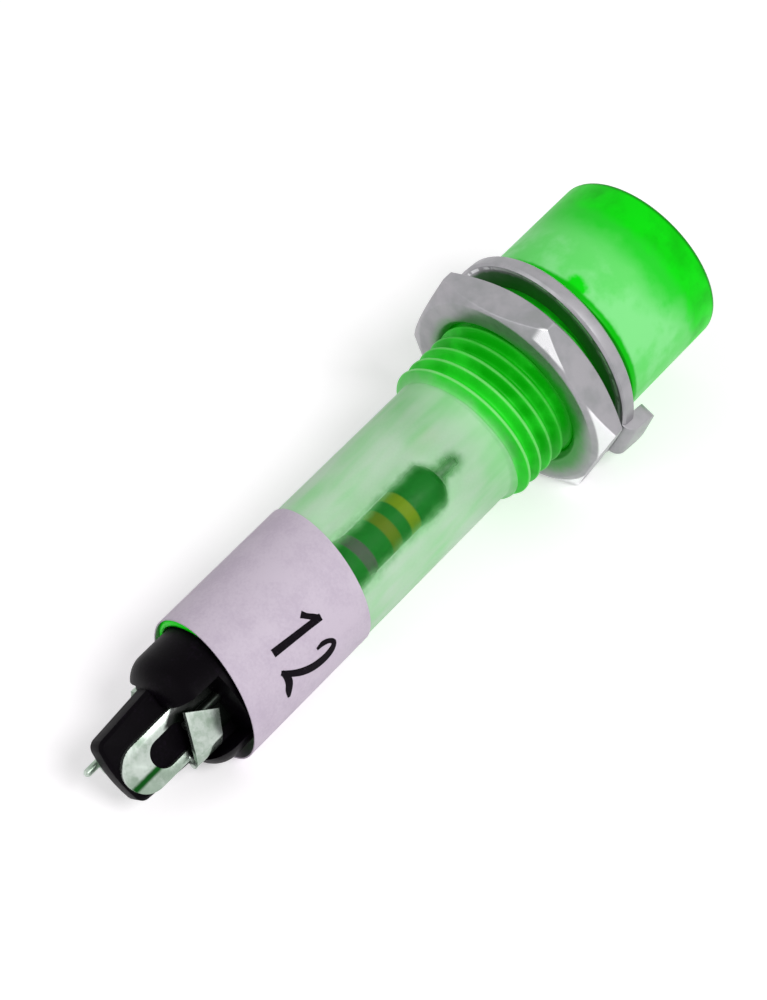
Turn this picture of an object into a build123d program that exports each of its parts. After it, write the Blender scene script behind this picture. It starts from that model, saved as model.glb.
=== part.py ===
"""Panel pilot light, 12 volt, for a 10 mm panel hole.

The lamp lies along Y. The seat of the head against the panel is the plane y = 0, the head points
to -Y and the terminals to +Y. All sizes are in millimetres. Angles round the lamp, called turns,
are counted in degrees from +X toward +Z.
"""
import os
from math import cos, radians, sin, tan

from build123d import *

# Moulded lens, threaded barrel and tube in one piece
head_diameter = 12.0
head_length = 8.2
head_edge_chamfer = 0.25
front_wall = 2.6
thread_diameter = 10.0
thread_pitch = 1.0
thread_end = 9.5
tube_end = 30.5
tube_wall = 0.49
tube_mouth_chamfer = 0.2

# Hexagon nut
nut_across_flats = 13.8
nut_thickness = 2.2
nut_front = 2.6
nut_chamfer_angle = 30.0
nut_face_inset = 0.2
nut_running_clearance = 0.05
nut_bore_chamfer = 0.3

# Loose washer with a bent tab, leaning on the thread
washer_diameter = 14.0
washer_hole_diameter = 10.8
washer_thickness = 1.0
washer_middle = 1.25
washer_lean = 5.0
washer_lean_turn = 248.0
washer_drop = 0.2
washer_edge_chamfer = 0.15
tab_turn = 206.0
tab_width = 3.2
tab_reach = 1.3
tab_stand_out = 0.45
tab_bend_radius = 0.7
tab_inside_radius = 0.2
tab_corner_radius = 0.6

# Wrapped label, set askew
label_front = 21.6
label_rear = 31.35
label_thickness = 0.08
label_gap = 0.01
label_front_skew = 9.0
label_front_skew_turn = 226.0
label_rear_skew = 11.5
label_rear_skew_turn = 236.0

# Base plug with its tongue, and the pockets for the folded ends of the terminals
plug_clearance = 0.02
plug_front = 26.0
plug_rear = 34.2
plug_rear_radius = 1.5
pocket_front = 31.45
pocket_gap = 0.3
tongue_turn = 145.8
tongue_end = 38.7
tongue_side = -0.12
tongue_root_width = 5.1
tongue_tip_width = 4.3
tongue_end_bow = 0.25
tongue_thickness = 1.5
tongue_corner_radius = 0.6
tongue_edge_chamfer = 0.2

# Solder terminals, one stamping used on both sides of the tongue
terminal_thickness = 0.35
terminal_width = 3.0
terminal_side = 0.5
terminal_root = 28.0
terminal_end = 38.6
slot_width = 1.75
slot_length = 2.95
slot_front = 33.75
slot_side = 0.6
wing_front = 32.55
wing_rear = 35.15
wing_front_tip = 31.75
wing_rear_tip = 33.75
wing_bulge = 0.45
wing_reach = 3.0

# Light source and its leads
led_diameter = 5.0
led_rim_diameter = 5.8
led_rim_thickness = 1.0
led_rim_flat = 2.6
led_length = 8.6
led_edge_chamfer = 0.5
led_front_gap = 0.4
lead_pitch = 2.54
lead_diameter = 0.5
live_lead_end = 9.9
return_lead_side = -0.85
return_lead_swing_start = 5.4
return_lead_swing_end = 8.0
return_lead_end = 39.45
lead_bend_radius = 1.2

# Series resistor
resistor_diameter = 3.2
resistor_waist_diameter = 2.8
resistor_length = 9.0
resistor_front = 12.9
resistor_cap_length = 2.2
resistor_edge_chamfer = 0.4
resistor_wire_diameter = 0.6
rear_wire_end = 34.1
wire_side = 0.3

# Joint between the two live wires, and the sleeve on the other lead
joint_length = 2.2
joint_diameter = 1.5
joint_edge_chamfer = 0.3
wire_end_gap = 0.1
sleeve_diameter = 1.1
sleeve_front = 9.6
sleeve_rear = 18.5
close_fit = 0.02

head_radius = head_diameter / 2
thread_radius = thread_diameter / 2
thread_depth = 0.6134 * thread_pitch
tube_radius = thread_radius - thread_depth
bore_radius = tube_radius - tube_wall
bore_front = front_wall - head_length
plug_radius = bore_radius - plug_clearance
tongue_root = plug_rear - plug_rear_radius
tongue_face = tongue_thickness / 2
terminal_face = tongue_face + terminal_thickness
terminal_low = terminal_side - terminal_width / 2
terminal_edge = terminal_side + terminal_width / 2
lead_radius = lead_diameter / 2
wire_radius = resistor_wire_diameter / 2
wire_height = terminal_face + wire_radius
lead_height = terminal_face + lead_radius
wing_height = terminal_face + resistor_wire_diameter + close_fit
wing_edge = terminal_edge + wing_bulge
fold_radius = (wing_height + terminal_thickness - tongue_face) / 2
led_front = bore_front + led_front_gap
led_rear = led_front + led_length
resistor_rear = resistor_front + resistor_length
front_wire_start = live_lead_end + wire_end_gap


def turned(turn):
    """The direction across the lamp that stands at this turn."""
    return Vector(cos(radians(turn)), 0, sin(radians(turn)))


def cross_plane(turn, station):
    """A plane across the lamp. Its Y axis points at the turn, and it faces the rear."""
    return Plane(origin=(0, station, 0), x_dir=turned(turn + 90), z_dir=(0, 1, 0))


def flat_plane(turn, height):
    """A plane along the lamp that faces the turn. Its X axis points to the rear."""
    return Plane(origin=turned(turn) * height, x_dir=(0, 1, 0), z_dir=turned(turn))


def leaning_plane(turn, lean, middle):
    """A plane across the lamp that leans to the rear on the side of the turn."""
    facing = Vector(0, cos(radians(lean)), 0) - turned(turn) * sin(radians(lean))
    return Plane(origin=middle, x_dir=turned(turn + 90), z_dir=facing)


def at(height, side, station):
    """A point given by its height over the tongue's middle plane, its side and its station."""
    return turned(tongue_turn) * height + turned(tongue_turn + 90) * side + Vector(0, station, 0)


# Lens head, barrel and tube: one half section, revolved. The barrel stands at the thread's crests
with BuildPart() as lens_housing:
    with BuildSketch(Plane.XY):
        with BuildLine():
            Polyline(
                (0, -head_length),
                (head_radius, -head_length),
                (head_radius, 0),
                (thread_radius, 0),
                (thread_radius, thread_end - thread_depth),
                (tube_radius, thread_end),
                (tube_radius, tube_end),
                (bore_radius, tube_end),
                (bore_radius, bore_front),
                (0, bore_front),
                close=True,
            )
        make_face()
    revolve(axis=Axis.Y)
    head_front_edge = lens_housing.edges().filter_by(GeomType.CIRCLE).group_by(Axis.Y)[0]
    chamfer(head_front_edge, length=head_edge_chamfer)
    mouth_edges = lens_housing.edges().filter_by(GeomType.CIRCLE).group_by(Axis.Y)[-1]
    chamfer(mouth_edges.sort_by(SortBy.RADIUS)[-1], length=tube_mouth_chamfer)

# Hexagon nut, bevelled on both faces, with a flat side down
nut_rear = nut_front + nut_thickness
nut_bore_radius = thread_radius + nut_running_clearance
nut_face_radius = nut_across_flats / 2 - nut_face_inset
bevel_reach = nut_across_flats * 0.6
bevel_run = (bevel_reach - nut_face_radius) * tan(radians(nut_chamfer_angle))
with BuildPart() as hex_nut:
    with BuildSketch(cross_plane(90, nut_front)):
        RegularPolygon(radius=nut_across_flats / 2, side_count=6, major_radius=False)
        Circle(nut_bore_radius, mode=Mode.SUBTRACT)
    extrude(amount=nut_thickness)
    bore_edges = hex_nut.edges().filter_by(GeomType.CIRCLE)
    chamfer(bore_edges, length=nut_bore_chamfer)
    with BuildSketch(Plane.XY):
        with BuildLine():
            Polyline(
                (0, nut_front),
                (nut_face_radius, nut_front),
                (bevel_reach, nut_front + bevel_run),
                (bevel_reach, nut_rear - bevel_run),
                (nut_face_radius, nut_rear),
                (0, nut_rear),
                close=True,
            )
        make_face()
    revolve(axis=Axis.Y, mode=Mode.INTERSECT)

# Washer: a flat ring with a lug bent over the edge of the head
washer_centre = Vector(0, washer_middle, -washer_drop)
washer_plane = leaning_plane(washer_lean_turn, washer_lean, washer_centre)
washer_axis = washer_plane.z_dir
tab_out = turned(tab_turn) - washer_axis * washer_axis.dot(turned(tab_turn))
tab_side = washer_axis.cross(tab_out)
washer_radius = washer_diameter / 2
tab_outer = washer_radius + tab_stand_out
tab_inner = tab_outer - washer_thickness
tab_tip = washer_thickness / 2 + tab_reach
with BuildPart() as tab_washer:
    with BuildSketch(Plane(origin=washer_centre, x_dir=tab_out, z_dir=washer_axis)):
        Circle(washer_radius)
        Circle(washer_hole_diameter / 2, mode=Mode.SUBTRACT)
    extrude(amount=washer_thickness / 2, both=True)
    rim_edges = tab_washer.edges().filter_by(GeomType.CIRCLE).group_by(SortBy.RADIUS)[-1]
    chamfer(rim_edges, length=washer_edge_chamfer)
    with BuildSketch(Plane(origin=washer_centre, x_dir=tab_out, z_dir=-tab_side)) as tab_profile:
        with BuildLine():
            Polyline(
                (tab_inner - washer_thickness / 2, -washer_thickness / 2),
                (tab_inner - washer_thickness / 2, washer_thickness / 2),
                (tab_outer, washer_thickness / 2),
                (tab_outer, -tab_tip),
                (tab_inner, -tab_tip),
                (tab_inner, -washer_thickness / 2),
                close=True,
            )
        make_face()
        corners = tab_profile.vertices().sort_by(Axis.X)
        fillet(corners[-2:].sort_by(Axis.Y)[-1], radius=tab_bend_radius)
        inner_corners = tab_profile.vertices().filter_by_position(Axis.X, tab_inner, tab_inner)
        fillet(inner_corners.sort_by(Axis.Y)[-1], radius=tab_inside_radius)
    extrude(amount=tab_width / 2, both=True)
    tip_edges = tab_washer.edges().filter_by(Axis(washer_centre, tab_out))
    fillet(tip_edges.sort_by(Axis(washer_centre, washer_axis))[:2], radius=tab_corner_radius)

# Label: a thin sleeve cut askew at both ends
label_bore_radius = tube_radius + label_gap
label_front_plane = leaning_plane(label_front_skew_turn, label_front_skew, (0, label_front, 0))
label_rear_plane = leaning_plane(label_rear_skew_turn, label_rear_skew, (0, label_rear, 0))
with BuildPart() as rating_label:
    with BuildSketch(cross_plane(90, label_front - tube_radius)):
        Circle(label_bore_radius + label_thickness)
        Circle(label_bore_radius, mode=Mode.SUBTRACT)
    extrude(amount=label_rear - label_front + 2 * tube_radius)
    split(bisect_by=label_front_plane, keep=Keep.TOP)
    split(bisect_by=label_rear_plane, keep=Keep.BOTTOM)

# Base plug: a round boss with a flat tongue, slotted for the terminals and drilled for the wires
pocket_low = terminal_low - pocket_gap
pocket_high = wing_edge + pocket_gap
tip_low = tongue_side - tongue_tip_width / 2
tip_high = tongue_side + tongue_tip_width / 2
tip_station = tongue_end - tongue_end_bow
with BuildPart() as base_plug:
    with BuildSketch(flat_plane(tongue_turn, 0)) as tongue_outline:
        with BuildLine():
            Polyline(
                (tip_station, tip_low),
                (tongue_root, tongue_side - tongue_root_width / 2),
                (tongue_root, tongue_side + tongue_root_width / 2),
                (tip_station, tip_high),
            )
            ThreePointArc((tip_station, tip_high), (tongue_end, tongue_side), (tip_station, tip_low))
        make_face()
        tip_corners = tongue_outline.vertices().sort_by(Axis.X)[-2:]
        fillet(tip_corners, radius=tongue_corner_radius)
    extrude(amount=tongue_face, both=True)
    broad_faces = base_plug.faces().sort_by(Axis((0, 0, 0), turned(tongue_turn)))
    rim_edges = (broad_faces[0].edges() + broad_faces[-1].edges()).group_by(Axis.Y)[1:]
    chamfer([edge for group in rim_edges for edge in group], length=tongue_edge_chamfer)
    with BuildSketch(Plane.XY) as boss_section:
        with BuildLine():
            Polyline(
                (0, plug_front),
                (plug_radius, plug_front),
                (plug_radius, plug_rear),
                (0, plug_rear),
                close=True,
            )
        make_face()
        rear_corner = boss_section.vertices().group_by(Axis.Y)[-1].sort_by(Axis.X)[-1]
        fillet(rear_corner, radius=plug_rear_radius)
    revolve(axis=Axis.Y)
    for turn in (tongue_turn, tongue_turn + 180):
        with BuildSketch(flat_plane(turn, tongue_face)):
            with BuildLine():
                Polyline(
                    (pocket_front, pocket_low),
                    (tongue_end, pocket_low),
                    (tongue_end, pocket_high),
                    (pocket_front, pocket_high),
                    close=True,
                )
            make_face()
        extrude(amount=head_radius, mode=Mode.SUBTRACT)
        with BuildSketch(flat_plane(turn, tongue_face)):
            with BuildLine():
                Polyline(
                    (terminal_root, terminal_low - close_fit),
                    (tongue_end, terminal_low - close_fit),
                    (tongue_end, terminal_edge + close_fit),
                    (terminal_root, terminal_edge + close_fit),
                    close=True,
                )
            make_face()
        extrude(amount=terminal_thickness + close_fit, mode=Mode.SUBTRACT)
    for height, side, radius in (
        (wire_height, wire_side, wire_radius),
        (-lead_height, return_lead_side, lead_radius),
    ):
        with BuildSketch(Plane(origin=at(height, side, plug_front), z_dir=(0, 1, 0))):
            Circle(radius + close_fit)
        extrude(amount=pocket_front - plug_front, mode=Mode.SUBTRACT)

# Terminals: a slotted plate with a wing folded back over the wire, the second turned half round
fold_side = wing_edge - fold_radius
terminals = []
for turn in (tongue_turn, tongue_turn + 180):
    folded_sheet = Plane(
        origin=turned(turn) * (tongue_face + fold_radius) + turned(turn + 90) * fold_side,
        x_dir=turned(turn + 90),
        z_dir=(0, -1, 0),
    )
    with BuildPart() as terminal:
        with BuildSketch(folded_sheet):
            Circle(fold_radius)
            with Locations((-wing_reach / 2, 0)):
                Rectangle(wing_reach, 2 * fold_radius)
            Circle(fold_radius - terminal_thickness, mode=Mode.SUBTRACT)
            with Locations((-wing_reach / 2, 0)):
                Rectangle(wing_reach, 2 * (fold_radius - terminal_thickness), mode=Mode.SUBTRACT)
        extrude(amount=-terminal_end)
        with BuildSketch(flat_plane(turn, 0)):
            with BuildLine():
                Polyline(
                    (wing_front, wing_edge),
                    (wing_front_tip, wing_edge - wing_reach * 0.6),
                    (wing_rear_tip, wing_edge - wing_reach),
                    (wing_rear, wing_edge),
                    close=True,
                )
            make_face()
        extrude(amount=head_radius, mode=Mode.INTERSECT)
        with BuildSketch(flat_plane(turn, tongue_face)):
            with Locations(((terminal_root + terminal_end) / 2, terminal_side)):
                SlotOverall(terminal_end - terminal_root, terminal_width)
            with BuildLine():
                Polyline(
                    (terminal_root, terminal_low),
                    (terminal_root + terminal_width, terminal_low),
                    (terminal_root + terminal_width, terminal_edge),
                    (terminal_root, terminal_edge),
                    close=True,
                )
            make_face()
        extrude(amount=terminal_thickness)
        with BuildSketch(flat_plane(turn, tongue_face)):
            with Locations((slot_front + slot_length / 2, slot_side)):
                SlotOverall(slot_length, slot_width)
        extrude(amount=terminal_thickness, mode=Mode.SUBTRACT)
    terminals.append(terminal)
live_terminal, return_terminal = terminals

# Light source: a flat-topped body with a rim, flat on the side of the return lead
with BuildPart() as led_lamp:
    with BuildSketch(Plane.XY):
        with BuildLine():
            Polyline(
                (0, led_front),
                (led_diameter / 2 - led_edge_chamfer, led_front),
                (led_diameter / 2, led_front + led_edge_chamfer),
                (led_diameter / 2, led_rear - led_rim_thickness),
                (led_rim_diameter / 2, led_rear - led_rim_thickness),
                (led_rim_diameter / 2, led_rear),
                (0, led_rear),
                close=True,
            )
        make_face()
    revolve(axis=Axis.Y)
    with BuildSketch(flat_plane(tongue_turn + 180, led_rim_flat)):
        Rectangle(2 * led_rear, led_rim_diameter)
    extrude(amount=led_rim_diameter, mode=Mode.SUBTRACT)

# Leads of the light source: one straight, one that swings aside and runs to the far terminal
with BuildPart() as live_lead:
    with BuildSketch(Plane(origin=at(lead_pitch / 2, 0, led_rear), z_dir=(0, 1, 0))):
        Circle(lead_radius)
    extrude(amount=live_lead_end - led_rear)

with BuildPart() as return_lead:
    with BuildLine() as lead_path:
        FilletPolyline(
            at(-lead_pitch / 2, 0, led_rear),
            at(-lead_pitch / 2, 0, return_lead_swing_start),
            at(-lead_height, return_lead_side, return_lead_swing_end),
            at(-lead_height, return_lead_side, return_lead_end),
            radius=lead_bend_radius,
        )
    with BuildSketch(Plane(origin=lead_path.line @ 0, z_dir=lead_path.line % 0)):
        Circle(lead_radius)
    sweep(path=lead_path.line)
    chamfer(return_lead.edges().group_by(Axis.Y)[-1], length=lead_radius * 0.6)

# Series resistor, thicker over its end caps, with a wire at each end
resistor_origin = at(wire_height, wire_side, 0)
resistor_plane = Plane(
    origin=resistor_origin, x_dir=turned(tongue_turn), z_dir=turned(tongue_turn + 90)
)
with BuildPart() as resistor_body:
    with BuildSketch(resistor_plane) as resistor_section:
        with BuildLine():
            Polyline(
                (0, resistor_front),
                (resistor_diameter / 2, resistor_front),
                (resistor_diameter / 2, resistor_front + resistor_cap_length),
                (resistor_waist_diameter / 2, resistor_front + resistor_cap_length + resistor_edge_chamfer),
                (resistor_waist_diameter / 2, resistor_rear - resistor_cap_length - resistor_edge_chamfer),
                (resistor_diameter / 2, resistor_rear - resistor_cap_length),
                (resistor_diameter / 2, resistor_rear),
                (0, resistor_rear),
                close=True,
            )
        make_face()
        end_corners = resistor_section.vertices().group_by(Axis.X)[-1]
        chamfer(end_corners, length=resistor_edge_chamfer)
    revolve(axis=Axis(resistor_origin, (0, 1, 0)))

with BuildPart() as resistor_front_wire:
    with BuildSketch(Plane(origin=at(wire_height, wire_side, front_wire_start), z_dir=(0, 1, 0))):
        Circle(wire_radius)
    extrude(amount=resistor_front - front_wire_start)

with BuildPart() as resistor_rear_wire:
    with BuildSketch(Plane(origin=at(wire_height, wire_side, resistor_rear), z_dir=(0, 1, 0))):
        Circle(wire_radius)
    extrude(amount=rear_wire_end - resistor_rear)

# Soldered joint that takes the end of the live lead and the end of the front wire
joint_front = live_lead_end + (wire_end_gap - joint_length) / 2
joint_middle = at((lead_pitch / 2 + wire_height) / 2, wire_side / 2, joint_front)
with BuildPart() as wire_joint:
    with BuildSketch(Plane(origin=joint_middle, z_dir=(0, 1, 0))):
        Circle(joint_diameter / 2)
    extrude(amount=joint_length)
    chamfer(wire_joint.edges().filter_by(GeomType.CIRCLE), length=joint_edge_chamfer)
    with BuildSketch(Plane(origin=at(lead_pitch / 2, 0, joint_front), z_dir=(0, 1, 0))):
        Circle(lead_radius + close_fit)
    extrude(amount=live_lead_end + wire_end_gap / 2 - joint_front, mode=Mode.SUBTRACT)
    with BuildSketch(Plane(origin=at(wire_height, wire_side, front_wire_start), z_dir=(0, 1, 0))):
        Circle(wire_radius + close_fit)
    extrude(amount=joint_length, mode=Mode.SUBTRACT)
    with BuildSketch(Plane(origin=at(wire_height, wire_side, front_wire_start), z_dir=(0, -1, 0))):
        Circle(wire_radius + close_fit)
    extrude(amount=wire_end_gap / 2, mode=Mode.SUBTRACT)

# Insulating sleeve on the straight part of the return lead
with BuildPart() as lead_sleeve:
    with BuildSketch(Plane(origin=at(-lead_height, return_lead_side, sleeve_front), z_dir=(0, 1, 0))):
        Circle(sleeve_diameter / 2)
        Circle(lead_radius + close_fit, mode=Mode.SUBTRACT)
    extrude(amount=sleeve_rear - sleeve_front)

os.makedirs("parts", exist_ok=True)
lens_housing.part.label = "lens_housing"
hex_nut.part.label = "hex_nut"
tab_washer.part.label = "tab_washer"
rating_label.part.label = "rating_label"
base_plug.part.label = "base_plug"
live_terminal.part.label = "live_terminal"
return_terminal.part.label = "return_terminal"
led_lamp.part.label = "led_lamp"
live_lead.part.label = "live_lead"
return_lead.part.label = "return_lead"
resistor_body.part.label = "resistor_body"
resistor_front_wire.part.label = "resistor_front_wire"
resistor_rear_wire.part.label = "resistor_rear_wire"
wire_joint.part.label = "wire_joint"
lead_sleeve.part.label = "lead_sleeve"

export_step(lens_housing.part, "parts/lens_housing.step")
export_step(hex_nut.part, "parts/hex_nut.step")
export_step(tab_washer.part, "parts/tab_washer.step")
export_step(rating_label.part, "parts/rating_label.step")
export_step(base_plug.part, "parts/base_plug.step")
export_step(live_terminal.part, "parts/live_terminal.step")
export_step(return_terminal.part, "parts/return_terminal.step")
export_step(led_lamp.part, "parts/led_lamp.step")
export_step(live_lead.part, "parts/live_lead.step")
export_step(return_lead.part, "parts/return_lead.step")
export_step(resistor_body.part, "parts/resistor_body.step")
export_step(resistor_front_wire.part, "parts/resistor_front_wire.step")
export_step(resistor_rear_wire.part, "parts/resistor_rear_wire.step")
export_step(wire_joint.part, "parts/wire_joint.step")
export_step(lead_sleeve.part, "parts/lead_sleeve.step")
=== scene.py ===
import math

import bmesh
import bpy
from mathutils import Matrix, Vector


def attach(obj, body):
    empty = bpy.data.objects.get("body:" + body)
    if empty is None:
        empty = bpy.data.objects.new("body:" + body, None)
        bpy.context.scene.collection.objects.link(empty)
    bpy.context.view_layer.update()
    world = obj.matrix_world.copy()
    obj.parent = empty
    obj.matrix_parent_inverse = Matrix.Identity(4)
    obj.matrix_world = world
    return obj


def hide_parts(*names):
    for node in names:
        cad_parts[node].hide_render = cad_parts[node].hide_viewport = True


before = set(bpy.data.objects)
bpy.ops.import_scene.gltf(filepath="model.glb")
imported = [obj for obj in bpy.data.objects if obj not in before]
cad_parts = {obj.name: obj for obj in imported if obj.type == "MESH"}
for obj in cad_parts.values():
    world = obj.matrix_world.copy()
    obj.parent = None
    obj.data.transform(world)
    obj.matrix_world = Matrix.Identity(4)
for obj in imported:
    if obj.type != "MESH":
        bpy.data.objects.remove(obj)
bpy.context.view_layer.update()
print("frame loaded, nodes:", len(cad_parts))

mm = 0.001
nearTurn = 125.84  # the side of the lamp that faces the photograph's camera, in degrees from +X to +Z


def tone(red, green, blue):  # a colour read off a screen, made linear
    def straight(level):
        level = level / 255
        return level / 12.92 if level < 0.04045 else ((level + 0.055) / 1.055) ** 2.4
    return (straight(red), straight(green), straight(blue), 1.0)


def around(radius, turn, station):  # millimetres and degrees to a point in metres
    angle = math.radians(turn)
    return Vector((radius * math.cos(angle), station, radius * math.sin(angle))) * mm


class Wire:  # a socket that adds, multiplies and compares like a number
    def __init__(self, bench, socket):
        self.bench = bench
        self.socket = socket

    def __add__(self, other):
        return self.bench.sum("ADD", self, other)

    def __sub__(self, other):
        return self.bench.sum("SUBTRACT", self, other)

    def __rsub__(self, other):
        return self.bench.sum("SUBTRACT", other, self)

    def __mul__(self, other):
        return self.bench.sum("MULTIPLY", self, other)

    def __truediv__(self, other):
        return self.bench.sum("DIVIDE", self, other)

    def __rtruediv__(self, other):
        return self.bench.sum("DIVIDE", other, self)

    def __pow__(self, other):
        return self.bench.sum("POWER", self, other)

    def __gt__(self, other):
        return self.bench.sum("GREATER_THAN", self, other)

    def __abs__(self):
        return self.bench.make("ShaderNodeMath", {"operation": "ABSOLUTE"}, {0: self})

    __radd__ = __add__
    __rmul__ = __mul__


class Bench:  # one node tree, and the one way that nodes get into it
    def __init__(self, tree):
        self.tree = tree

    def make(self, kind, settings, values, out=0):
        node = self.tree.nodes.new(kind)
        for name, value in settings.items():
            setattr(node, name, value)
        for key, value in values.items():
            if isinstance(value, Wire):
                self.tree.links.new(value.socket, node.inputs[key])
            else:
                node.inputs[key].default_value = value
        return Wire(self, node.outputs[out])

    def sum(self, operation, first, second):
        return self.make("ShaderNodeMath", {"operation": operation}, {0: first, 1: second})

    def place(self):  # where the shaded point lies, in millimetres: x, station, z
        spot = self.make("ShaderNodeTexCoord", {}, {}, "Object")
        return [self.make("ShaderNodeSeparateXYZ", {}, {0: spot}, axis) * 1000 for axis in ("X", "Y", "Z")]

    def noise(self, size, detail, seed, stretch=(1, 1, 1)):  # size of the blotches in millimetres
        spot = self.make("ShaderNodeTexCoord", {}, {}, "Object")
        moved = self.make("ShaderNodeMapping", {}, {"Vector": spot, "Location": (seed, 0.7 * seed, 0),
                                                    "Scale": stretch})
        return self.make("ShaderNodeTexNoise", {}, {"Vector": moved, "Scale": 1 / (size * mm), "Detail": detail,
                                                    "Roughness": 0.6}, "Fac")

    def soft(self, value, low, high):  # 0 below low, 1 above high
        return self.make("ShaderNodeMapRange", {"interpolation_type": "SMOOTHSTEP"},
                         {"Value": value, "From Min": low, "From Max": high}, "Result")

    def blend(self, share, first, second):
        return self.make("ShaderNodeMix", {"data_type": "RGBA"}, {0: share, 6: first, 7: second}, 2)

    def bump(self, height, strength, depth):
        return self.make("ShaderNodeBump", {}, {"Height": height, "Strength": strength, "Distance": depth * mm},
                         "Normal")


def sideways(x, z, radius):  # how far round a point lies from the near side: -1 to 1
    angle = math.radians(nearTurn + 90)
    return (x * math.cos(angle) + z * math.sin(angle)) / radius


def noises(bench, look, *names):
    return [bench.noise(*look[name + "Noise"]) for name in names]


def shared(share, first, second):  # two wires weighed against each other
    return first * share + second * (1 - share)


def grown(value, least, gain):  # least where the value is 0, and more by gain where it is 1
    return least + value * gain


def finish(name, recipe, fixed):  # a material: recipe gives the varying sockets, fixed the plain ones
    material = bpy.data.materials.new(name)
    material.use_nodes = True
    tree = material.node_tree
    tree.nodes.remove(tree.nodes["Principled BSDF"])
    bench = Bench(tree)
    shader = bench.make("ShaderNodeBsdfPrincipled", {}, {**fixed, **recipe(bench)})
    tree.links.new(shader.socket, tree.nodes["Material Output"].inputs["Surface"])
    return material


# Camera: the photograph's view
cameraView = {
    "place": (-0.08598, 0.07854, 0.11906),
    "right": (-0.733990, -0.653077, -0.186410),
    "up": (0.411592, -0.646063, 0.642802),
    "back": (-0.540232, 0.395086, 0.743005),
    "lens": 65.534,
}
lensData = bpy.data.cameras.new("photoCamera")
lensData.sensor_fit = "VERTICAL"
lensData.sensor_height = 24.0
lensData.lens = cameraView["lens"]
lensData.clip_start = 0.001
lensData.clip_end = 20.0
camera = bpy.data.objects.new("photoCamera", lensData)
bpy.context.scene.collection.objects.link(camera)
turned = Matrix((cameraView["right"], cameraView["up"], cameraView["back"])).transposed().to_4x4()
camera.matrix_world = Matrix.Translation(cameraView["place"]) @ turned
bpy.context.scene.camera = camera
bpy.context.scene.view_settings.view_transform = "Standard"

black = (0, 0, 0, 1)

# Green moulding: head, thread and tube. Stations and radii are in millimetres, a pair is where a fade starts
# and ends, a wander is how far the blotches move it, and a noise is its size, detail, seed and stretch.
greenLook = {
    "broadNoise": (4.2, 2.0, 0.3),
    "mottleNoise": (1.1, 3.0, 1.7),
    "grainNoise": (0.14, 2.0, 4.1),
    "drawnNoise": (1.6, 2.0, 2.9, (1.0, 0.20, 1.0)),
    "broadShare": 0.7, "drawnShare": 0.6, "cloudyShare": 0.5,
    "rough": (0.30, 0.16), "grainDepth": 0.5, "bump": (0.16, 0.03),
    "rim": tone(4, 220, 10),
    "rimDeep": tone(2, 184, 4),
    "rimWash": (0.45, 0.7),
    "rimFade": (-6.2, -5.3), "rimWander": 2.4,
    "frontEdge": tone(0, 128, 2),
    "edgeFade": (-8.0, -7.8), "edgeFrom": (5.6, 5.8),
    "headPale": tone(136, 228, 142),
    "headMid": tone(106, 220, 110),
    "headWash": (0.42, 0.6),
    "headSmoke": tone(38, 206, 44),
    "smokeFade": (-5.2, -2.6), "smokeWander": 5.0,
    "smokeSide": (0.3, 0.9), "smokeLag": 1.8,
    "nibTurn": 111.3, "nibStation": -0.5, "nibFade": (0.5, 0.95), "nibWander": 1.1,
    "seatFade": (-0.55, -0.3), "seatWander": 0.2,
    "barrelFrom": (-0.02, 0.02),
    "thread": tone(44, 210, 46),
    "threadDeep": tone(12, 166, 14),
    "threadWash": (0.34, 0.54), "threadPaling": 0.14,
    # the pale crest colour is a painted highlight along the thread's crests
    "crest": tone(136, 224, 130),
    "crestFrom": (4.93, 4.995), "crestShare": (0.10, 0.80),
    "endwardFade": (4.6, 9.4), "endwardWander": 3.0,
    "threadEnd": (8.7, 9.7), "endWander": 1.2,
    "frosted": tone(186, 232, 188),
    "frostedDeep": tone(148, 224, 150),
    "frostFade": (9.4, 12.2), "frostWander": 1.6, "frostCover": 0.88,
    "tubeClear": tone(208, 242, 210),
    "tubeDeep": tone(160, 236, 162),
    "tubeWash": (0.34, 0.66),
    "tubeCover": 0.70, "drawnCover": 0.12, "grainCover": 0.06,
    "windowTint": tone(60, 206, 66),
    "windowAside": 0.772, "windowHalf": (0.9, 1.9), "windowWander": 0.7,
    "windowFade": (11.6, 12.6), "windowStagger": 0.8, "windowCover": 0.16,
    "windowWidens": (13.3, 14.5), "windowGain": 1.0,
    "boreFrost": tone(214, 244, 214),
    "boreFrom": (3.92, 4.1), "boreFrostFade": (9.2, 10.6),
    "boreCover": (0.03, 0.92),
    "mouth": tone(10, 236, 10),
    "mouthFrom": (30.05, 30.2),
    # a painted glow: the green moulding gives off a faint green light of its own
    "paintedGlow": tone(0, 226, 0),
}


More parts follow.
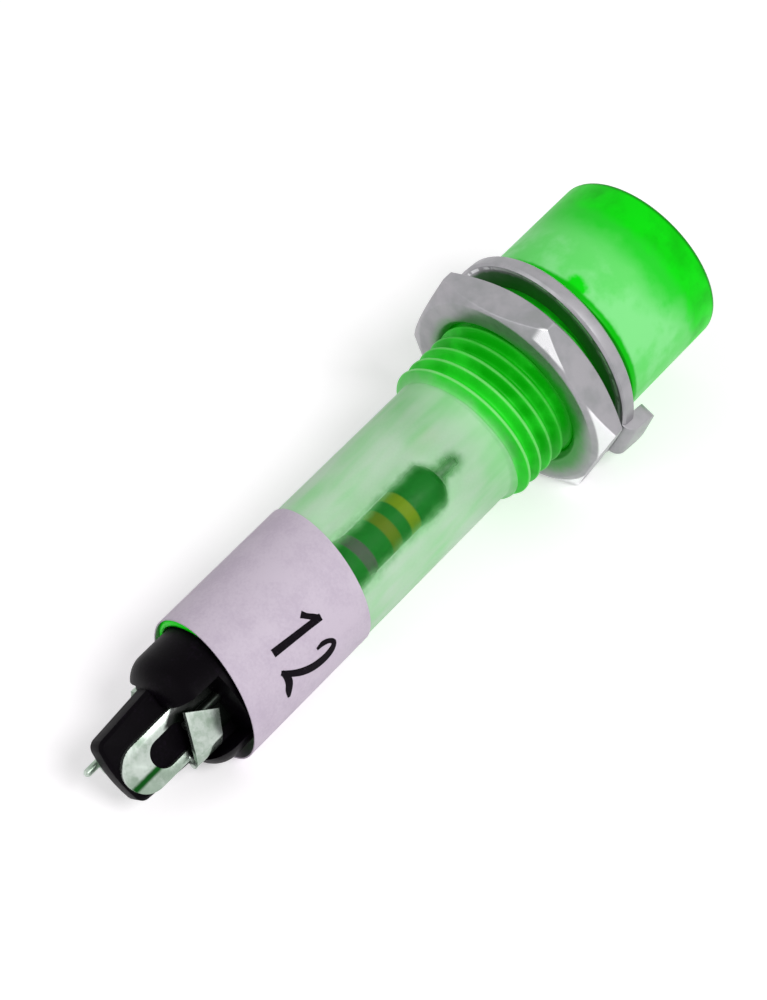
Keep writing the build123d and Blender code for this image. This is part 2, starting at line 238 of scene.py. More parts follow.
def greenRecipe(bench):
    look = greenLook
    x, station, z = bench.place()
    radius = (x * x + z * z) ** 0.5
    aside = sideways(x, z, radius)
    broad, mottle, grain, drawn = noises(bench, look, "broad", "mottle", "grain", "drawn")
    wash = shared(look["broadShare"], broad, mottle)
    # head: a clear green front rim, a smoky wash behind it, paler towards the washer
    front = 1 - bench.soft(station + (wash - 0.5) * look["rimWander"], *look["rimFade"])
    lag = bench.soft(aside, *look["smokeSide"]) * look["smokeLag"]
    smoke = 1 - bench.soft(station + (wash - 0.5) * look["smokeWander"] + lag, *look["smokeFade"])
    nibPlace = around(mouldingPlan["head"], look["nibTurn"], look["nibStation"]) / mm
    away = ((x - nibPlace.x) ** 2 + (z - nibPlace.z) ** 2 + (station - nibPlace.y) ** 2) ** 0.5
    nib = 1 - bench.soft(away + (mottle - 0.5) * look["nibWander"], *look["nibFade"])
    seat = bench.soft(station + (mottle - 0.5) * look["seatWander"], *look["seatFade"])
    head = bench.blend(bench.soft(wash, *look["headWash"]), look["headPale"], look["headMid"])
    head = bench.blend(smoke, head, look["headSmoke"])
    rim = bench.blend(bench.soft(wash, *look["rimWash"]), look["rim"], look["rimDeep"])
    head = bench.blend(bench.sum("MAXIMUM", front, nib), head, rim)
    head = bench.blend(seat, head, look["rimDeep"])
    edge = (1 - bench.soft(station, *look["edgeFade"])) * bench.soft(radius, *look["edgeFrom"])
    head = bench.blend(edge, head, look["frontEdge"])
    # thread: a painted highlight along the crests, growing towards the last turn
    # how far the painted crest highlight has grown, and the thread paled, towards the last turn
    paler = bench.soft(station + (mottle - 0.5) * look["endwardWander"], *look["endwardFade"])
    crest = bench.soft(radius, *look["crestFrom"]) * grown(paler, *look["crestShare"])
    deep = bench.soft(wash - paler * look["threadPaling"], *look["threadWash"])
    thread = bench.blend(crest, bench.blend(deep, look["thread"], look["threadDeep"]), look["crest"])
    # tube: frosted near the thread, then cloudy, with a clearer patch over the resistor and its joint
    offset = abs(aside * radius - look["windowAside"]) + (mottle - 0.5) * look["windowWander"]
    offset = offset + (1 - bench.soft(station, *look["windowWidens"])) * look["windowGain"]
    window = 1 - bench.soft(offset, *look["windowHalf"])
    window = window * bench.soft(station + (mottle - 0.5) * look["windowStagger"], *look["windowFade"])
    frost = (1 - bench.soft(station + (drawn - 0.5) * look["frostWander"], *look["frostFade"])) * (1 - window)
    streaks = bench.soft(shared(look["drawnShare"], drawn, broad), *look["tubeWash"])
    clear = bench.blend(streaks, look["tubeClear"], look["tubeDeep"])
    clear = bench.blend(window, clear, look["windowTint"])
    clouds = bench.soft(shared(look["cloudyShare"], drawn, broad), *look["tubeWash"])
    cloudy = bench.blend(clouds, look["frosted"], look["frostedDeep"])
    mouth = bench.soft(station, *look["mouthFrom"])
    tube = bench.blend(mouth, bench.blend(frost, clear, cloudy), look["mouth"])
    ends = bench.soft(station + (wash - 0.5) * look["endWander"], *look["threadEnd"])
    onBarrel = bench.soft(station, *look["barrelFrom"])
    colour = bench.blend(onBarrel, head, bench.blend(ends, thread, tube))
    inside = onBarrel * (1 - bench.soft(radius, *look["boreFrom"]))
    behindThread = 1 - bench.soft(station, *look["boreFrostFade"])
    colour = bench.blend(inside * behindThread, colour, look["boreFrost"])
    # how much of what lies behind is covered
    tubeCover = look["tubeCover"] + (look["windowCover"] - look["tubeCover"]) * window
    tubeCover = tubeCover + (drawn - 0.5) * look["drawnCover"] + (grain - 0.5) * look["grainCover"]
    tubeCover = tubeCover + (look["frostCover"] - tubeCover) * frost
    seeThrough = ends * (1 - mouth)
    cover = 1 - seeThrough * (1 - tubeCover)
    boreCover = grown(behindThread, *look["boreCover"])
    return {
        "Base Color": colour,
        "Roughness": grown(mottle, *look["rough"]),
        "Normal": bench.bump(grain * look["grainDepth"] + mottle, *look["bump"]),
        # a painted glow on the head and the thread
        "Emission Color": bench.blend((1 - seeThrough) * (1 - inside), black, look["paintedGlow"]),
        "Alpha": cover + (boreCover - cover) * inside,
    }


# Bright plating of the nut and the washer, with a painted green reflection of the barrel near the bore and painted
# highlights
platingLook = {
    "broadNoise": (2.6, 2.0, 2.2),
    "middleNoise": (0.8, 2.0, 7.3),
    "fineNoise": (0.16, 2.0, 5.0),
    "broadShare": 0.6, "stainEven": 0.5, "fineShare": 0.4, "fineRough": 0.05,
    "bright": tone(166, 164, 168),
    "dull": tone(154, 154, 157),
    "dullWash": (0.4, 0.62),
    "stain": tone(136, 142, 136),
    "stainWash": (0.56, 0.70), "stainShare": 0.3,
    # a painted highlight, laid on the nut's corners on the near side and in a thin arc on the washer
    "paintedHighlight": tone(240, 240, 242),
}
nutLook = {
    "rear": 4.8, "face": 6.7, "slope": math.tan(math.radians(30)),
    "metal": 0.85, "greenReflectionDull": 0.6, "rough": (0.30, 0.08), "cornerGloss": 0.15, "bump": (0.05, 0.03),
    "coneDepth": (0.14, 0.06), "cornerFrom": (6.98, 7.12), "cornerSide": (-0.17, -0.11),
    # cast is a painted green reflection of the barrel near the bore
    "greenReflection": tone(10, 132, 12),
    "greenReflectionFade": (5.5, 6.7), "greenReflectionWander": 0.7, "greenReflectionSide": (-0.7, 0.1), "greenReflectionReach": 0.7, "greenReflectionShare": 0.95,
}
washerLook = {
    "metal": 0.9, "shadeDull": 0.4, "rough": (0.34, 0.08), "bump": (0.04, 0.03),
    "highlightIn": (6.42, 6.5), "highlightOut": (6.6, 6.68), "highlightWash": (0.36, 0.5), "highlightShare": 0.9,
    # shade is painted shade and a painted dark green reflection of the thread on the rear face
    "shade": tone(4, 70, 6),
    "shadeFade": (6.2, 6.45), "shadeWander": 0.3, "shadeShare": 0.9,
}


def plated(bench, rough):  # mottled grey of the nut and the washer: colour, blotches, roughness and relief
    look = platingLook
    broad, middle, fine = noises(bench, look, "broad", "middle", "fine")
    dulled = bench.soft(shared(look["broadShare"], broad, middle), *look["dullWash"])
    colour = bench.blend(dulled, look["bright"], look["dull"])
    stained = bench.soft(shared(look["stainEven"], broad, middle), *look["stainWash"]) * look["stainShare"]
    colour = bench.blend(stained, colour, look["stain"])
    roughness = grown(middle, *rough) + fine * look["fineRough"]
    return colour, middle, roughness, shared(look["fineShare"], fine, middle)


def nutRecipe(bench):
    look = nutLook
    x, station, z = bench.place()
    radius = (x * x + z * z) ** 0.5
    aside = sideways(x, z, radius)
    colour, middle, rough, relief = plated(bench, look["rough"])
    deep, shallow = look["coneDepth"]
    cone = station + (radius - look["face"]) * look["slope"]
    # a painted highlight on the nut's corners on the near side, where they are also made glossier
    corner = bench.soft(cone, look["rear"] - deep, look["rear"] - shallow)
    corner = corner * bench.soft(radius, *look["cornerFrom"]) * bench.soft(aside, *look["cornerSide"])
    colour = bench.blend(corner, colour, platingLook["paintedHighlight"])
    # a painted green reflection of the barrel near the bore, with a painted glow
    reach = (1 - bench.soft(aside, *look["greenReflectionSide"])) * look["greenReflectionReach"]
    greenReflection = 1 - bench.soft(radius + (middle - 0.5) * look["greenReflectionWander"] + reach, *look["greenReflectionFade"])
    greenReflection = greenReflection * look["greenReflectionShare"]
    return {
        "Base Color": bench.blend(greenReflection, colour, look["greenReflection"]),
        "Metallic": look["metal"] - greenReflection * look["greenReflectionDull"],
        "Roughness": rough - corner * look["cornerGloss"],
        "Normal": bench.bump(relief, *look["bump"]),
        "Emission Color": bench.blend(greenReflection, black, greenLook["paintedGlow"]),
    }


def washerRecipe(bench):
    look = washerLook
    x, station, z = bench.place()
    radius = (x * x + z * z) ** 0.5
    colour, middle, rough, relief = plated(bench, look["rough"])
    # a painted highlight in a thin arc on the rear face near the rim
    highlight = bench.soft(radius, *look["highlightIn"]) * (1 - bench.soft(radius, *look["highlightOut"]))
    highlight = highlight * bench.soft(middle, *look["highlightWash"]) * look["highlightShare"]
    colour = bench.blend(highlight, colour, platingLook["paintedHighlight"])
    # painted shade and a painted green reflection of the thread inside the rim, with a painted glow
    shade = 1 - bench.soft(radius + (middle - 0.5) * look["shadeWander"], *look["shadeFade"])
    shade = shade * look["shadeShare"]
    return {
        "Base Color": bench.blend(shade, colour, look["shade"]),
        "Metallic": look["metal"] - shade * look["shadeDull"],
        "Roughness": rough,
        "Normal": bench.bump(relief, *look["bump"]),
        "Emission Color": bench.blend(shade, black, greenLook["paintedGlow"]),
    }


# the emission of the nut and the washer is a painted glow
nutPlating = finish("nutPlating", nutRecipe, {"Emission Strength": 0.08})
washerPlating = finish("washerPlating", washerRecipe, {"Emission Strength": 0.03})

# Tinned sheet of the terminals, with painted shade at the root and in the crease, and the wires, with a stretch of
# painted shade. A terminal lies flat
# across flatTurn: height is measured towards that turn and side across it.
tinLook = {
    "broadNoise": (1.6, 2.0, 3.4),
    "fineNoise": (0.22, 2.0, 1.9),
    "broadShare": 0.8, "metal": 0.9, "rootDull": 0.5, "rough": (0.16, 0.08), "wireRough": (0.2, 0.1),
    "bump": (0.14, 0.05),
    "bright": tone(196, 206, 198),
    "dull": tone(150, 168, 152),
    "brightWash": (0.38, 0.62),
    "flatTurn": 145.8,
    "plateTop": (1.2, 1.3),
    # root is painted shade over the terminal's root by the base
    "root": tone(4, 10, 5),
    "rootFrom": 34.0, "rootSide": -1.0, "rootSlant": 1.6, "rootTo": 34.9,
    "rootFade": (-0.2, 0.2), "rootWander": 0.3,
    # crease is painted shade along the terminal's crease
    "crease": tone(10, 78, 18),
    "creaseIn": (0.7, 0.92), "creaseOut": (1.08, 1.3), "creaseWander": 0.1, "creaseFrom": (36.3, 36.6),
    # wireDark marks a stretch of painted shade on the wires
    "wireDark": (28.0, 30.0), "wireClear": (35.6, 36.2), "wireShare": 0.92,
}


def tinned(bench):  # colour, both noises and how they are weighed
    look = tinLook
    broad, fine = noises(bench, look, "broad", "fine")
    weighed = shared(look["broadShare"], broad, fine)
    colour = bench.blend(bench.soft(weighed, *look["brightWash"]), look["dull"], look["bright"])
    return colour, broad, fine, weighed


def terminalRecipe(bench):
    look = tinLook
    x, station, z = bench.place()
    turn = math.radians(look["flatTurn"])
    height = x * math.cos(turn) + z * math.sin(turn)
    side = z * math.cos(turn) - x * math.sin(turn)
    colour, broad, fine, weighed = tinned(bench)
    onPlate = 1 - bench.soft(abs(height), *look["plateTop"])
    # painted shade over the plate's root, along a slanted line
    slanted = look["rootFrom"] + (side - look["rootSide"]) * look["rootSlant"]
    ragged = (fine - 0.5) * look["rootWander"]
    root = 1 - bench.soft(station - bench.sum("MINIMUM", slanted, look["rootTo"]) + ragged, *look["rootFade"])
    # painted shade along the crease
    crease = bench.soft(side + (fine - 0.5) * look["creaseWander"], *look["creaseIn"])
    crease = crease * (1 - bench.soft(side, *look["creaseOut"])) * bench.soft(station, *look["creaseFrom"])
    colour = bench.blend(crease * onPlate, colour, look["crease"])
    return {
        "Base Color": bench.blend(root * onPlate, colour, look["root"]),
        "Metallic": look["metal"] - root * onPlate * look["rootDull"],
        "Roughness": grown(fine + broad, *look["rough"]),
        "Normal": bench.bump(weighed, *look["bump"]),
    }


def wireRecipe(bench):
    look = tinLook
    x, station, z = bench.place()
    colour, broad, fine, weighed = tinned(bench)
    # painted shade along a stretch of the wires
    dark = bench.soft(station, *look["wireDark"]) * (1 - bench.soft(station, *look["wireClear"]))
    return {
        "Base Color": bench.blend(dark * look["wireShare"], colour, look["root"]),
        "Roughness": grown(fine + broad, *look["wireRough"]),
    }


terminalTin = finish("terminalTin", terminalRecipe, {})
wireTin = finish("wireTin", wireRecipe, {"Metallic": 0.9})


# Black moulding of the base
blackLook = {
    "broadNoise": (1.8, 3.0, 0.9),
    "fineNoise": (0.2, 3.0, 6.6),
    "plain": tone(3, 1, 4),
    "broadShare": 0.5, "rough": (0.34, 0.24), "fineDepth": 0.7, "bump": (0.22, 0.04),
    "paler": tone(24, 15, 28),
    "wornWash": (0.5, 0.75), "wornShare": 0.6,
}


def blackRecipe(bench):
    look = blackLook
    broad, fine = noises(bench, look, "broad", "fine")
    paler = bench.soft(shared(look["broadShare"], broad, fine), *look["wornWash"]) * look["wornShare"]
    return {
        "Base Color": bench.blend(paler, look["plain"], look["paler"]),
        "Roughness": grown(broad, *look["rough"]),
        "Normal": bench.bump(fine * look["fineDepth"] + broad, *look["bump"]),
    }


blackMoulding = finish("blackMoulding", blackRecipe, {"IOR": 1.5, "Specular IOR Level": 0.045})

# Label film and its print
filmLook = {
    "broadNoise": (2.2, 3.0, 8.1),
    "fineNoise": (0.18, 3.0, 3.3),
    "film": tone(208, 196, 211),
    "shade": tone(197, 184, 201),
    "shadeWash": (0.4, 0.66), "broadShare": 0.6,
    "rough": (0.46, 0.14), "broadDepth": 0.4, "bump": (0.12, 0.02),
}
inkLook = {
    "fineNoise": (0.14, 3.0, 2.5),
    "ink": tone(10, 5, 12),
    "thin": tone(58, 46, 62),
    "thinWash": (0.55, 0.8), "thinShare": 0.5, "rough": (0.5, 0.2),
}


def filmRecipe(bench):
    look = filmLook
    broad, fine = noises(bench, look, "broad", "fine")
    shade = bench.soft(shared(look["broadShare"], broad, fine), *look["shadeWash"])
    return {
        "Base Color": bench.blend(shade, look["film"], look["shade"]),
        "Roughness": grown(fine, *look["rough"]),
        "Normal": bench.bump(fine + broad * look["broadDepth"], *look["bump"]),
    }


def inkRecipe(bench):
    look = inkLook
    fine = bench.noise(*look["fineNoise"])
    thin = bench.soft(fine, *look["thinWash"]) * look["thinShare"]
    return {
        "Base Color": bench.blend(thin, look["ink"], look["thin"]),
        "Roughness": grown(fine, *look["rough"]),
    }


labelFilm = finish("labelFilm", filmRecipe, {"IOR": 1.45, "Specular IOR Level": 0.3})
labelInk = finish("labelInk", inkRecipe, {"Specular IOR Level": 0.06})

# Resistor lacquer, with its bands across the body
resistorLook = {
    "fineNoise": (0.4, 3.0, 1.1),
    "body": tone(8, 84, 28),
    "paler": tone(20, 112, 38),
    "wornWash": (0.3, 0.7), "wornShare": 0.3,
    "bands": (
        (15.5, 16.3, tone(140, 142, 4)),
        (17.15, 17.95, tone(116, 98, 8)),
        (19.3, 20.2, tone(98, 0, 96)),
    ),
    "bandEdge": 0.08, "rough": (0.4, 0.1),
}


def resistorRecipe(bench):
    look = resistorLook
    x, station, z = bench.place()
    fine = bench.noise(*look["fineNoise"])
    colour = bench.blend(bench.soft(fine, *look["wornWash"]) * look["wornShare"], look["body"], look["paler"])
    edge = look["bandEdge"]
    for low, high, paint in look["bands"]:
        begun = bench.soft(station, low - edge, low + edge)
        over = bench.soft(station, high - edge, high + edge)
        colour = bench.blend(begun * (1 - over), colour, paint)
    return {"Base Color": colour, "Roughness": grown(fine, *look["rough"])}


resistorLacquer = finish("resistorLacquer", resistorRecipe, {"Specular IOR Level": 0.15})

# Light source and soldered joint: one colour running into another
resinLook = {
    "fineNoise": (0.6, 2.0, 1.5),
    "deep": tone(90, 220, 96),
    "pale": tone(150, 240, 150),
    "rough": (0.25, 0.1),
}
solderLook = {
    "fineNoise": (0.3, 3.0, 2.8),
    "deep": tone(14, 40, 18),
    "pale": tone(44, 76, 46),
    "rough": (0.4, 0.2),
}


def runningRecipe(look):
    def recipe(bench):
        fine = bench.noise(*look["fineNoise"])
        return {
            "Base Color": bench.blend(fine, look["deep"], look["pale"]),
            "Roughness": grown(fine, *look["rough"]),
        }
    return recipe


lampResin = finish("lampResin", runningRecipe(resinLook), {})
solderGrey = finish("solderGrey", runningRecipe(solderLook), {"Metallic": 0.3})

# Thin sleeve: yellow at its front, then paler and clearer
sleeveLook = {
    "fineNoise": (0.5, 3.0, 4.8),
    "yellow": tone(190, 190, 40),
    "pale": tone(176, 216, 168),
    "paleFade": (9.5, 12.5),
    "cover": 0.85, "coverLoss": 0.6, "rough": (0.5, 0.1),
}


def sleeveRecipe(bench):
    look = sleeveLook
    x, station, z = bench.place()
    fine = bench.noise(*look["fineNoise"])
    faded = bench.soft(station + (fine - 0.5), *look["paleFade"])
    return {
        "Base Color": bench.blend(faded, look["yellow"], look["pale"]),
        "Roughness": grown(fine, *look["rough"]),
        "Alpha": look["cover"] - faded * look["coverLoss"],
    }


sleevePlastic = finish("sleevePlastic", sleeveRecipe, {})


def newPiece(name, mesh, material):
    piece = bpy.data.objects.new(name, mesh)
    bpy.context.scene.collection.objects.link(piece)
    mesh.materials.clear()
    mesh.materials.append(material)
    return piece


def plainMesh(piece):  # the evaluated shape as a mesh of its own, with no modifier left
    evaluated = piece.evaluated_get(bpy.context.evaluated_depsgraph_get())
    mesh = bpy.data.meshes.new_from_object(evaluated)
    piece.modifiers.clear()
    piece.data = mesh


def closedMesh(name, shape):
    mesh = bpy.data.meshes.new(name)
    shape.to_mesh(mesh)
    shape.free()
    return mesh


# The moulding's wall: a half section turned round the axis, then the thread is wound on by nodes.
# Rings are stations, or pairs of a station and a radius, in millimetres.
mouldingPlan = {
    "around": 160,
    "headFront": -8.2, "faceRings": (1.5, 3.0, 4.4, 5.3),
    "edge": 0.3, "edgeSteps": 6,
    "head": 6.0, "headRings": (-7.2, -6.0, -5.0, -4.0, -3.0, -2.0, -1.0, -0.3, -0.06),
    "seatRings": ((-0.02, 5.98), (0.0, 5.94), (0.0, 5.5), (0.0, 5.05)),
    "neck": 5.0, "neckRings": (0.05, 0.5),
    "root": 4.3866, "crest": 5.0, "threadFrom": 1.0, "threadTo": 9.5,
    "pitch": 1.0, "rowsPerTurn": 14, "leadIn": 0.1, "leadOut": 0.5,
    "flank": (0.03, 0.46), "phaseShift": 10.5, "runIn": (0.3, 0.2), "coneLift": 0.02,
    "tubeRings": (11.5, 14, 17, 20, 23, 26, 28.5, 30.1, 30.28),
    "mouthRings": ((30.32, 4.3666), (30.48, 4.2066), (30.5, 4.1666), (30.5, 3.94), (30.46, 3.9)),
    "bore": 3.9, "boreRings": (28, 24, 20, 16, 12, 8, 4, 0, -3, -5.2),
    "boreFront": -5.6, "boreEndRings": ((-5.45, 3.82), (-5.6, 3.6), (-5.6, 2.4), (-5.6, 1.2)),
}
# the moulding's emission is a painted glow
greenMoulding = finish("greenMoulding", greenRecipe, {"IOR": 1.49, "Specular IOR Level": 0.1,
                                                      "Emission Strength": 0.09})
print("materials made")


def mouldingSection(plan):  # rows from the front face round: station, radius, is the thread wound there
    rows = [(plan["headFront"], radius, 0) for radius in plan["faceRings"]]
    turnIn = plan["head"] - plan["edge"]
    for step in range(plan["edgeSteps"] + 1):
        angle = math.pi / 2 * step / plan["edgeSteps"]
        rows.append((plan["headFront"] + plan["edge"] * (1 - math.cos(angle)),
                     turnIn + plan["edge"] * math.sin(angle), 0))
    rows += [(station, plan["head"], 0) for station in plan["headRings"]]
    rows += [(station, radius, 0) for station, radius in plan["seatRings"]]
    rows += [(station, plan["neck"], 1) for station in plan["neckRings"]]
    first, last = plan["threadFrom"] - plan["leadIn"], plan["threadTo"] + plan["leadOut"]
    count = round((last - first) * plan["rowsPerTurn"] / plan["pitch"])
    for step in range(count + 1):
        station = first + (last - first) * step / count
        cone = plan["neck"] - max(0.0, station - plan["threadFrom"])
        rows.append((station, max(plan["root"], cone), 1))
    rows += [(station, plan["root"], 0) for station in plan["tubeRings"]]
    rows += [(station, radius, 0) for station, radius in plan["mouthRings"]]
    rows += [(station, plan["bore"], 0) for station in plan["boreRings"]]
    rows += [(station, radius, 0) for station, radius in plan["boreEndRings"]]
    return rows


def turnMoulding(plan):
    shape = bmesh.new()
    wall = shape.verts.layers.float.new("outerWall")
    rings = []
    for station, radius, outer in mouldingSection(plan):
        ring = []
        for step in range(plan["around"]):
            spot = shape.verts.new(around(radius, 360 * step / plan["around"], station))
            spot[wall] = outer
            ring.append(spot)
        rings.append(ring)
    for ringA, ringB in zip(rings, rings[1:]):
        for step in range(plan["around"]):
            following = (step + 1) % plan["around"]
            shape.faces.new((ringA[step], ringA[following], ringB[following], ringB[step]))
    for ring, station in ((rings[0], plan["headFront"]), (rings[-1], plan["boreFront"])):
        pole = shape.verts.new((0, station * mm, 0))
        for step in range(plan["around"]):
            shape.faces.new((ring[step], ring[(step + 1) % plan["around"]], pole))
    bmesh.ops.recalc_face_normals(shape, faces=shape.faces)
    for face in shape.faces:
        face.smooth = True
    return closedMesh("moulding", shape)


def threadTree(plan, material):  # moves the outer wall out along a rounded right-hand helix
    tree = bpy.data.node_groups.new("windThread", "GeometryNodeTree")
    face = tree.interface
    face.new_socket("Geometry", in_out="INPUT", socket_type="NodeSocketGeometry")
    names = {}
    for name in ("Pitch", "Root", "Depth", "Start", "End"):
        names[name] = face.new_socket(name, in_out="INPUT", socket_type="NodeSocketFloat").identifier
    face.new_socket("Geometry", in_out="OUTPUT", socket_type="NodeSocketGeometry")
    bench = Bench(tree)
    given = tree.nodes.new("NodeGroupInput")
    size = {name: Wire(bench, given.outputs[name]) for name in names}
    spot = bench.make("GeometryNodeInputPosition", {}, {})
    x, y, z = [bench.make("ShaderNodeSeparateXYZ", {}, {0: spot}, axis) * 1000 for axis in ("X", "Y", "Z")]
    radius = (x * x + z * z) ** 0.5
    turn = bench.sum("ARCTAN2", z, x) / (2 * math.pi)
    phase = bench.make("ShaderNodeMath", {"operation": "FRACT"},
                       {0: (y - size["Start"]) / size["Pitch"] + turn + plan["phaseShift"]}) - 0.5
    ridge = 1 - bench.soft(abs(phase), *plan["flank"])
    cone = bench.sum("MINIMUM", size["Depth"], size["End"] - y + plan["coneLift"])
    before, after = plan["runIn"]
    runIn = bench.soft(y, size["Start"] - before, size["Start"] + after)
    wound = size["Root"] + bench.sum("MINIMUM", size["Depth"] * ridge * runIn, cone)
    target = bench.sum("MAXIMUM", radius, wound)
    outer = bench.make("GeometryNodeInputNamedAttribute", {"data_type": "FLOAT"}, {"Name": "outerWall"})
    scale = 1 + (target / radius - 1) * (outer > 0.5)
    moved = bench.make("ShaderNodeCombineXYZ", {}, {0: x * scale / 1000, 1: y / 1000, 2: z * scale / 1000})
    body = bench.make("GeometryNodeSetPosition", {}, {"Geometry": Wire(bench, given.outputs["Geometry"]),
                                                      "Position": moved})
    body = bench.make("GeometryNodeRealizeInstances", {}, {"Geometry": body})
    body = bench.make("GeometryNodeSetMaterial", {}, {"Geometry": body, "Material": material})
    leaving = tree.nodes.new("NodeGroupOutput")
    tree.links.new(body.socket, leaving.inputs[0])
    return tree, names


moulding = newPiece("mouldedHousing", turnMoulding(mouldingPlan), greenMoulding)
windTree, windNames = threadTree(mouldingPlan, greenMoulding)
winding = moulding.modifiers.new("windThread", "NODES")
winding.node_group = windTree
threadSizes = {
    "Pitch": mouldingPlan["pitch"],
    "Root": mouldingPlan["root"],
    "Depth": mouldingPlan["crest"] - mouldingPlan["root"],
    "Start": mouldingPlan["threadFrom"],
    "End": mouldingPlan["threadTo"],
}
for name, value in threadSizes.items():
    winding[windNames[name]] = value
plainMesh(moulding)
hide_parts("lens_housing")
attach(moulding, "lamp")
print("moulding made, faces:", len(moulding.data.polygons))


# Sharp-edged sheet and turned pieces: the CAD shape with its edges eased by so many millimetres
easedPlan = {
    "hexNut": {"node": "hex_nut", "body": "nut", "slot": "nut_plating", "ease": 0.1, "finish": nutPlating},
    "tabWasher": {"node": "tab_washer", "body": "washer", "slot": "washer_plating", "ease": 0.08,
                  "finish": washerPlating},
    "basePlug": {"node": "base_plug", "body": "lamp", "slot": "black_base", "ease": 0.07,
                 "finish": blackMoulding},
    "liveTerminal": {"node": "live_terminal", "body": "lamp", "slot": "tinned_brass", "ease": 0.05,
                     "finish": terminalTin},
    "returnTerminal": {"node": "return_terminal", "body": "lamp", "slot": "tinned_brass", "ease": 0.05,
                       "finish": terminalTin},
    "resistorBody": {"node": "resistor_body", "body": "lamp", "slot": "resistor_coat", "ease": 0.3,
                     "finish": resistorLacquer},
}
easeSteps = {"merge": 0.002, "flat": 1.0, "corner": 22, "segments": 3}

# The bent wings are what stands above or beside the plate by these measures. The near wing's front edge
# moves back, by inner at side "from" to outer a reach further out, the far wing's rear edge forward by farBack.
wingTrim = {
    "above": 1.15, "beside": 2.02,
    "behind": 33.5, "from": 0.65, "reach": 1.8, "inner": 0.29, "outer": 0.60,
    "farFrom": 34.5, "farBack": 0.85,
}


def trimWing(shape, name):
    turn = math.radians(tinLook["flatTurn"] + (180 if name == "returnTerminal" else 0))
    for spot in shape.verts:
        height = (spot.co.x * math.cos(turn) + spot.co.z * math.sin(turn)) / mm
        side = (spot.co.z * math.cos(turn) - spot.co.x * math.sin(turn)) / mm
        if height < wingTrim["above"] and side < wingTrim["beside"]:
            continue
        if name == "liveTerminal" and spot.co.y / mm < wingTrim["behind"]:
            share = min(max((side - wingTrim["from"]) / wingTrim["reach"], 0), 1)
            spot.co.y += (wingTrim["inner"] + (wingTrim["outer"] - wingTrim["inner"]) * share) * mm
        if name == "returnTerminal" and spot.co.y / mm > wingTrim["farFrom"]:
            spot.co.y -= wingTrim["farBack"] * mm


def easeEdges(name, plan):
    shape = bmesh.new()
    shape.from_mesh(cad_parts[plan["node"]].data)
    bmesh.ops.remove_doubles(shape, verts=shape.verts, dist=easeSteps["merge"] * mm)
    bmesh.ops.dissolve_limit(shape, angle_limit=math.radians(easeSteps["flat"]), verts=shape.verts,
                             edges=shape.edges)
    if name in ("liveTerminal", "returnTerminal"):
        trimWing(shape, name)
    for face in shape.faces:
        face.smooth = True
    piece = newPiece(name, closedMesh(name, shape), plan["finish"])
    bevel = piece.modifiers.new("ease", "BEVEL")
    bevel.width = plan["ease"] * mm
    bevel.segments = easeSteps["segments"]
    bevel.limit_method = "ANGLE"
    bevel.angle_limit = math.radians(easeSteps["corner"])
    bevel.harden_normals = True
    plainMesh(piece)
    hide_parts(plan["node"])
    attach(piece, plan["body"])


for name, plan in easedPlan.items():
    easeEdges(name, plan)
print("nut, washer, base, terminals and resistor made")


# The pieces that keep their CAD shape
keptFinishes = {
    "rating_label": labelFilm,
    "led_lamp": lampResin,
    "live_lead": wireTin,
    "return_lead": wireTin,
    "resistor_front_wire": wireTin,
    "resistor_rear_wire": wireTin,
    "wire_joint": solderGrey,
    "lead_sleeve": sleevePlastic,
}
for name, material in keptFinishes.items():
    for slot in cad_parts[name].material_slots:
        slot.material = material

# Number printed round the label: strokes of (turn from the near side, station, width in millimetres)
printPlan = {
    "surface": 4.4766, "proud": 0.010, "sunk": 0.010, "steps": 6,
    "strokes": (
        ((22.4, 24.84, 0.44), (20.6, 25.9, 0.44), (18.6, 27.2, 0.47), (16.7, 28.44, 0.50)),
        ((22.6, 24.93, 0.34), (18.6, 25.20, 0.36), (14.4, 25.50, 0.34), (10.6, 25.70, 0.44)),
        ((39.6, 26.12, 0.18), (39.6, 25.62, 0.34), (42.6, 25.14, 0.30), (46.8, 24.98, 0.36), (50.4, 25.30, 0.52),
         (51.6, 25.92, 0.58), (49.8, 26.72, 0.56), (45.8, 27.42, 0.50), (40.6, 28.02, 0.42), (35.6, 28.46, 0.36),
         (32.0, 28.74, 0.30)),
        ((32.0, 28.66, 0.30), (37.4, 28.56, 0.46), (43.0, 28.60, 0.54), (48.6, 28.82, 0.50), (54.4, 28.98, 0.20)),
    ),
}


def smoothStroke(points, steps):  # the same points with a curve drawn through them
    padded = [points[0]] + list(points) + [points[-1]]
    drawn = []
    for a, b, c, d in zip(padded, padded[1:], padded[2:], padded[3:]):
        for step in range(steps):
            t = step / steps
            drawn.append([
                0.5 * (2 * q + (r - p) * t + (2 * p - 5 * q + 4 * r - s) * t * t + (3 * q - p - 3 * r + s) * t ** 3)
                for p, q, r, s in zip(a, b, c, d)
            ])
    return drawn + [list(points[-1])]


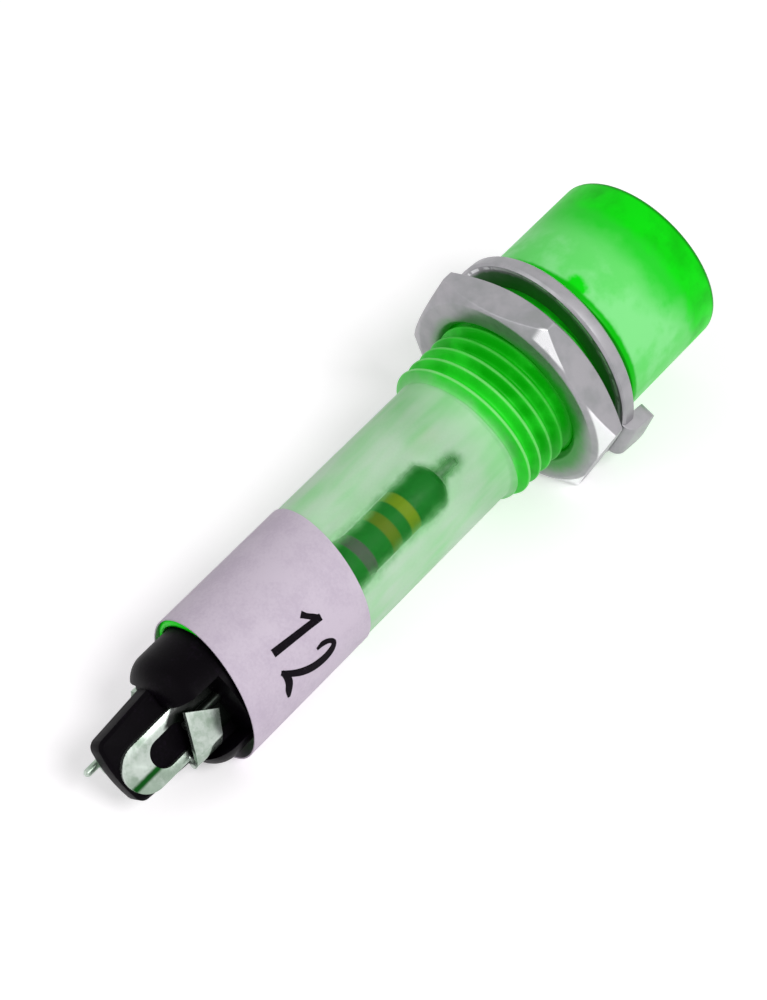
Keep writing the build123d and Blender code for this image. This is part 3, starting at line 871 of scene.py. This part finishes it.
def printNumber(plan):
    shape = bmesh.new()
    for stroke in plan["strokes"]:
        line = [(math.radians(nearTurn + turn) * plan["surface"], station, width)
                for turn, station, width in smoothStroke(stroke, plan["steps"])]
        rings = []
        for place, (along, station, width) in enumerate(line):
            before, after = line[max(place - 1, 0)], line[min(place + 1, len(line) - 1)]
            run = Vector((after[0] - before[0], after[1] - before[1])).normalized() * width / 2
            ring = []
            for side, lift in ((1, plan["proud"]), (-1, plan["proud"]), (-1, -plan["sunk"]), (1, -plan["sunk"])):
                turn = math.degrees((along - side * run.y) / plan["surface"])
                ring.append(shape.verts.new(around(plan["surface"] + lift, turn, station + side * run.x)))
            rings.append(ring)
        for ringA, ringB in zip(rings, rings[1:]):
            for corner in range(4):
                following = (corner + 1) % 4
                shape.faces.new((ringA[corner], ringA[following], ringB[following], ringB[corner]))
        shape.faces.new(rings[0])
        shape.faces.new(rings[-1])
    bmesh.ops.recalc_face_normals(shape, faces=shape.faces)
    piece = newPiece("printedNumber", closedMesh("printedNumber", shape), labelInk)
    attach(piece, "lamp")


printNumber(printPlan)
print("label printed")


# Floor, world and lamps
studio = {
    "floorTilt": 5.2,
    "floorPoint": (0.0, 0.0021, -0.00722),
    "floorSide": 6.0,
    "floorColour": (0.90, 0.875, 0.90, 1), "floorRoughness": 0.9, "floorShine": 0.1,
    "worldLevel": 0.40,
    "floorLift": 0.38,
    "aim": (0, 0.012, 0),
    "key": {"place": (-0.43, 0.02, 0.43), "side": 0.20, "watts": 1.95},
    "fill": {"place": (0.20, 0.45, 0.40), "side": 0.45, "watts": 0.45},
}


def directRays(bench):  # 1 for what the camera sees straight, mirrored or through clear plastic
    seen = bench.make("ShaderNodeLightPath", {}, {}, "Is Camera Ray")
    for name in ("Is Glossy Ray", "Is Transmission Ray"):
        seen = bench.sum("MAXIMUM", seen, bench.make("ShaderNodeLightPath", {}, {}, name))
    return seen


floorMesh = bpy.data.meshes.new("paleFloor")
half = studio["floorSide"] / 2
tilt = Matrix.Translation(studio["floorPoint"]) @ Matrix.Rotation(math.radians(studio["floorTilt"]), 4, "X")
signs = ((-1, -1), (1, -1), (1, 1), (-1, 1))
corners = [tilt @ Vector((across * half, along * half, 0)) for across, along in signs]
floorMesh.from_pydata(corners, [], [(0, 1, 2, 3)])
floorMaterial = bpy.data.materials.new("paleFloor")
floorMaterial.use_nodes = True
floorShader = floorMaterial.node_tree.nodes["Principled BSDF"]
floorShader.inputs["Base Color"].default_value = studio["floorColour"]
floorShader.inputs["Roughness"].default_value = studio["floorRoughness"]
floorShader.inputs["Specular IOR Level"].default_value = studio["floorShine"]
floorShader.inputs["Emission Color"].default_value = (1, 1, 1, 1)
floorBench = Bench(floorMaterial.node_tree)
lift = directRays(floorBench) * studio["floorLift"]  # white to the eye and in reflections, the shadow kept
floorMaterial.node_tree.links.new(lift.socket, floorShader.inputs["Emission Strength"])
floor = newPiece("paleFloor", floorMesh, floorMaterial)

world = bpy.data.worlds.new("softRoom")
bpy.context.scene.world = world
world.use_nodes = True
sky = Bench(world.node_tree)
background = world.node_tree.nodes["Background"]
background.inputs["Color"].default_value = (1, 1, 1, 1)
level = studio["worldLevel"] + directRays(sky) * (1 - studio["worldLevel"])
world.node_tree.links.new(level.socket, background.inputs["Strength"])

for name in ("key", "fill"):
    plan = studio[name]
    lamp = bpy.data.lights.new(name + "Lamp", "AREA")
    lamp.shape = "DISK"
    lamp.size = plan["side"]
    lamp.energy = plan["watts"]
    holder = bpy.data.objects.new(name + "Lamp", lamp)
    bpy.context.scene.collection.objects.link(holder)
    facing = (Vector(studio["aim"]) - Vector(plan["place"])).to_track_quat("-Z", "Y")
    holder.matrix_world = Matrix.Translation(plan["place"]) @ facing.to_matrix().to_4x4()
print("floor and lamps set")
